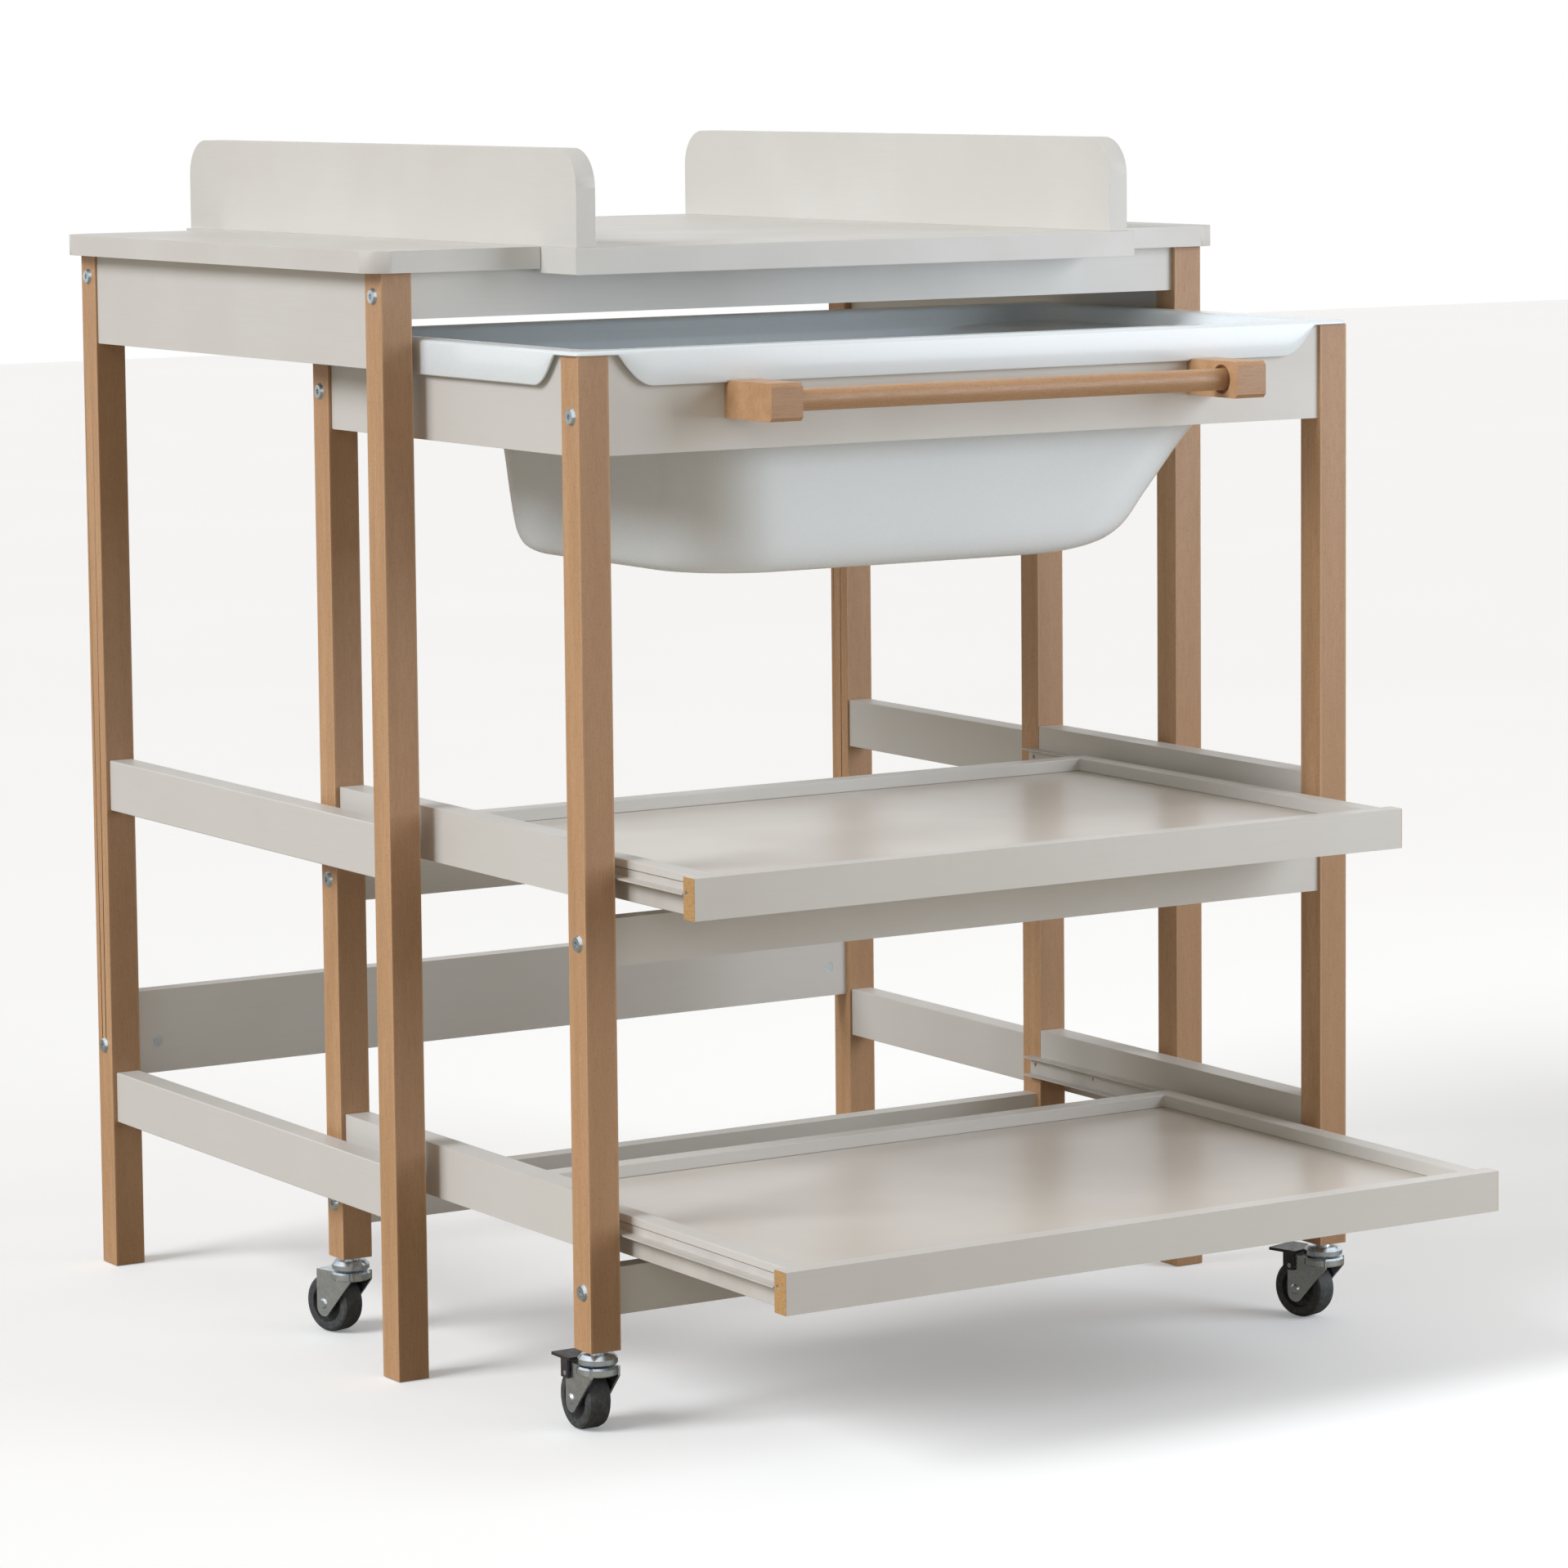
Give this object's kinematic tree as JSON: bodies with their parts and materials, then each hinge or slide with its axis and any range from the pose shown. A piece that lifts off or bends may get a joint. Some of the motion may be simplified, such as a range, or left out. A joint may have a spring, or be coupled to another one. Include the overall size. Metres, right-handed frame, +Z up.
{
  "type": "changing table",
  "caption": "Beech and painted changing table with side guards and a caster trolley that carries a bath tub, towel bar and pull-out trays.",
  "frame": {"origin": "on the floor, in the middle of the whole object as it stands with trolley and trays partly out", "axes": "+X to the table's right, -Y to its front where the trolley rolls out, +Z up"},
  "size_m": [0.84, 1.142, 1.006],
  "materials": {
    "beech": "clear satin lacquer on steamed beech",
    "painted_wood": "satin warm grey-white paint",
    "tub_plastic": "glossy white moulded plastic",
    "runner_white": "white powder coat",
    "zinc": "bright zinc plate",
    "wheel_rubber": "grey non-marking rubber",
    "pedal_dark": "dark plastic"
  },
  "bodies": {
    "table": {"table_leg_fl": "beech", "table_leg_fr": "beech", "table_leg_bl": "beech", "table_leg_br": "beech", "table_apron_left": "painted_wood", "table_apron_right": "painted_wood", "table_apron_front": "painted_wood", "table_apron_back": "painted_wood", "table_mid_rail_left": "painted_wood", "table_mid_rail_right": "painted_wood", "table_low_rail_left": "painted_wood", "table_low_rail_right": "painted_wood", "table_back_rail": "painted_wood", "table_bolts": "zinc", "top_left": "painted_wood", "top_right": "painted_wood", "changing_board": "painted_wood", "guard_left": "painted_wood", "guard_right": "painted_wood"},
    "trolley": {"cart_leg_fl": "beech", "cart_leg_fr": "beech", "cart_leg_bl": "beech", "cart_leg_br": "beech", "cart_apron_left": "painted_wood", "cart_apron_right": "painted_wood", "cart_apron_front": "painted_wood", "cart_apron_back": "painted_wood", "cart_upper_rail_left": "painted_wood", "cart_upper_rail_right": "painted_wood", "cart_lower_rail_left": "painted_wood", "cart_lower_rail_right": "painted_wood", "cart_upper_cross_front": "painted_wood", "cart_upper_cross_back": "painted_wood", "cart_lower_cross_front": "painted_wood", "cart_lower_cross_back": "painted_wood", "bar_blocks": "beech", "towel_bar": "beech", "cart_bolts": "zinc", "runners_upper": "runner_white", "runners_lower": "runner_white", "caster_stems": "zinc"},
    "tub": {"tub": "tub_plastic"},
    "tray_upper": {"tray_upper_front": "painted_wood", "tray_upper_frame": "painted_wood", "tray_upper_floor": "painted_wood", "tray_upper_runners": "runner_white"},
    "tray_lower": {"tray_lower_front": "painted_wood", "tray_lower_frame": "painted_wood", "tray_lower_floor": "painted_wood", "tray_lower_runners": "runner_white"},
    "caster_fl": {"caster_fork_fl": "zinc"},
    "wheel_fl": {"caster_wheel_fl": "wheel_rubber"},
    "pedal_fl": {"brake_pedal_fl": "pedal_dark"},
    "caster_fr": {"caster_fork_fr": "zinc"},
    "wheel_fr": {"caster_wheel_fr": "wheel_rubber"},
    "pedal_fr": {"brake_pedal_fr": "pedal_dark"},
    "caster_bl": {"caster_fork_bl": "zinc"},
    "wheel_bl": {"caster_wheel_bl": "wheel_rubber"},
    "caster_br": {"caster_fork_br": "zinc"},
    "wheel_br": {"caster_wheel_br": "wheel_rubber"}
  },
  "joints": [
    {"name": "trolley_roll", "type": "slide", "parent": "table", "child": "trolley", "axis": [0, -1, 0], "range_m": [-0.3, 0.42]},
    {"name": "tub_lift", "type": "slide", "parent": "trolley", "child": "tub", "axis": [0, 0, 1], "range_m": [0, 0.012]},
    {"name": "upper_tray_slide", "type": "slide", "parent": "trolley", "child": "tray_upper", "axis": [0, -1, 0], "range_m": [-0.115, 0.135]},
    {"name": "lower_tray_slide", "type": "slide", "parent": "trolley", "child": "tray_lower", "axis": [0, -1, 0], "range_m": [-0.242, 0.008]},
    {"name": "caster_swivel_fl", "type": "hinge", "parent": "trolley", "child": "caster_fl", "pos_m": [-0.3545, -0.3155, 0.067], "axis": [0, 0, 1], "continuous": true},
    {"name": "wheel_spin_fl", "type": "hinge", "parent": "caster_fl", "child": "wheel_fl", "pos_m": [-0.3545, -0.2955, 0.025], "axis": [1, 0, 0], "continuous": true},
    {"name": "brake_pedal_fl", "type": "hinge", "parent": "caster_fl", "child": "pedal_fl", "pos_m": [-0.3545, -0.2915, 0.0455], "axis": [1, 0, 0], "range_deg": [-10, 0]},
    {"name": "caster_swivel_fr", "type": "hinge", "parent": "trolley", "child": "caster_fr", "pos_m": [0.3605, -0.3155, 0.067], "axis": [0, 0, 1], "continuous": true},
    {"name": "wheel_spin_fr", "type": "hinge", "parent": "caster_fr", "child": "wheel_fr", "pos_m": [0.35499, -0.29627, 0.025], "axis": [0.9613, 0.2756, 0], "continuous": true},
    {"name": "brake_pedal_fr", "type": "hinge", "parent": "caster_fr", "child": "pedal_fr", "pos_m": [0.35388, -0.29243, 0.0455], "axis": [0.9613, 0.2756, 0], "range_deg": [-10, 0]},
    {"name": "caster_swivel_bl", "type": "hinge", "parent": "trolley", "child": "caster_bl", "pos_m": [-0.3545, 0.1045, 0.067], "axis": [0, 0, 1], "continuous": true},
    {"name": "wheel_spin_bl", "type": "hinge", "parent": "caster_bl", "child": "wheel_bl", "pos_m": [-0.36001, 0.12373, 0.025], "axis": [0.9613, 0.2756, 0], "continuous": true},
    {"name": "caster_swivel_br", "type": "hinge", "parent": "trolley", "child": "caster_br", "pos_m": [0.3605, 0.1045, 0.067], "axis": [0, 0, 1], "continuous": true},
    {"name": "wheel_spin_br", "type": "hinge", "parent": "caster_br", "child": "wheel_br", "pos_m": [0.35772, 0.12431, 0.025], "axis": [0.9903, 0.1392, 0], "continuous": true}
  ]
}
